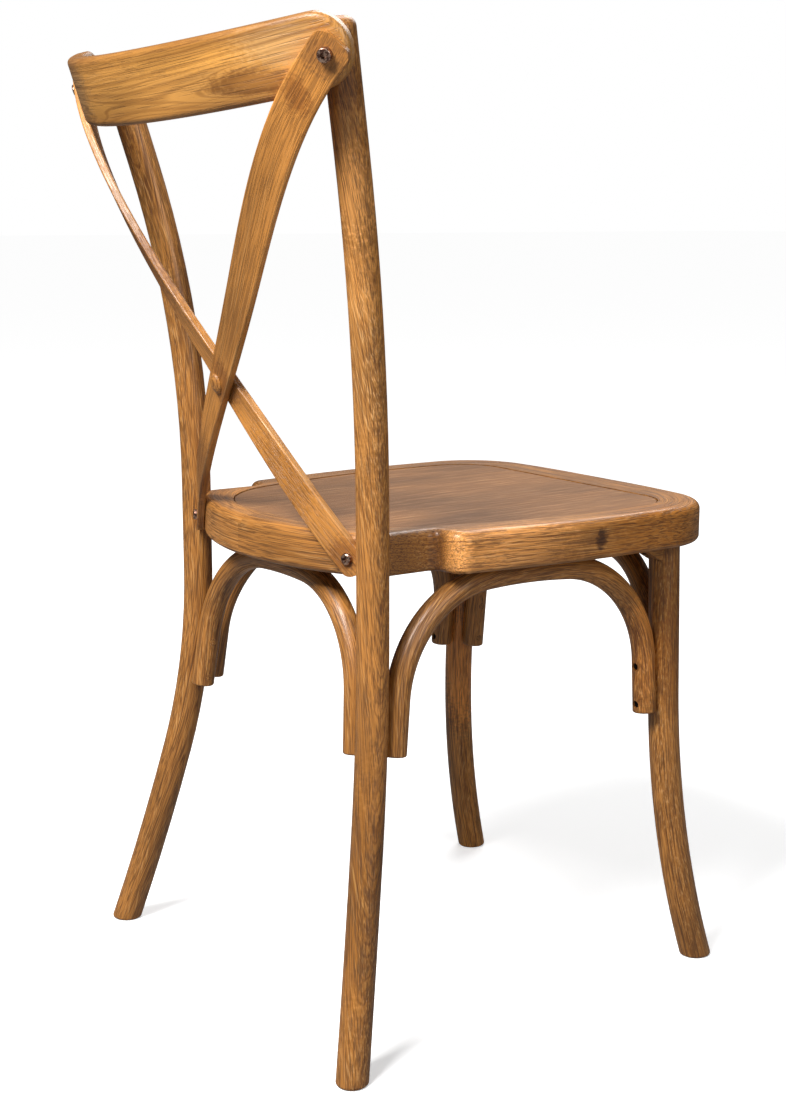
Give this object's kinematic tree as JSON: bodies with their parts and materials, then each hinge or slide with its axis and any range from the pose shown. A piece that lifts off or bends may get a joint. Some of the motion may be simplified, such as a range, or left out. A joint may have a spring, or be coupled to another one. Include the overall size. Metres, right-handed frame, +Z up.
{
  "type": "cross back dining chair",
  "caption": "Bentwood dining chair with a crossed back, curved crest rail, ring seat with an inlaid panel and arched braces under the seat.",
  "frame": {"origin": "on the floor, at the centre of the chair's plan outline", "axes": "+Z is up from the floor to the crest rail, -Y is the way a sitter faces, +X is the sitter's left"},
  "size_m": [0.4738, 0.5556, 0.8834],
  "materials": {
    "frame_wood": "satin lacquer over a brushed golden brown stain",
    "seat_wood": "satin lacquer over a brushed golden brown stain",
    "panel_wood": "satin lacquer, slightly cooler brown",
    "arch_wood": "satin lacquer over a brushed golden brown stain",
    "crest_wood": "satin lacquer, the lightest of the bent parts",
    "slat_wood": "satin lacquer over a brushed golden brown stain",
    "block_wood": "stained, unpolished",
    "button_wood": "satin, slightly lighter than the slats",
    "bronze_steel": "dark antique bronze plating",
    "screw_steel": "blackened",
    "washer_steel": "zinc plated",
    "insert_brass": "machined"
  },
  "bodies": {
    "root": {"seat_frame": "seat_wood", "seat_panel": "panel_wood", "rear_leg_left": "frame_wood", "rear_leg_right": "frame_wood", "front_leg_left": "frame_wood", "front_leg_right": "frame_wood", "arch_rear": "arch_wood", "arch_front": "arch_wood", "arch_left": "arch_wood", "arch_right": "arch_wood", "corner_block_front_left": "block_wood", "corner_block_front_right": "block_wood", "crest_rail": "crest_wood", "cross_slat_outer": "slat_wood", "cross_slat_inner": "slat_wood", "crossing_button": "button_wood", "crossing_screw": "screw_steel", "crest_bolts": "bronze_steel", "crest_inserts": "insert_brass", "slat_foot_screws": "bronze_steel", "arch_foot_plugs": "arch_wood", "arch_foot_screws": "screw_steel", "arch_crown_screws": "screw_steel", "corner_block_screws": "screw_steel", "upright_bolts": "bronze_steel", "upright_washers": "washer_steel", "upright_inserts": "insert_brass"}
  },
  "joints": []
}
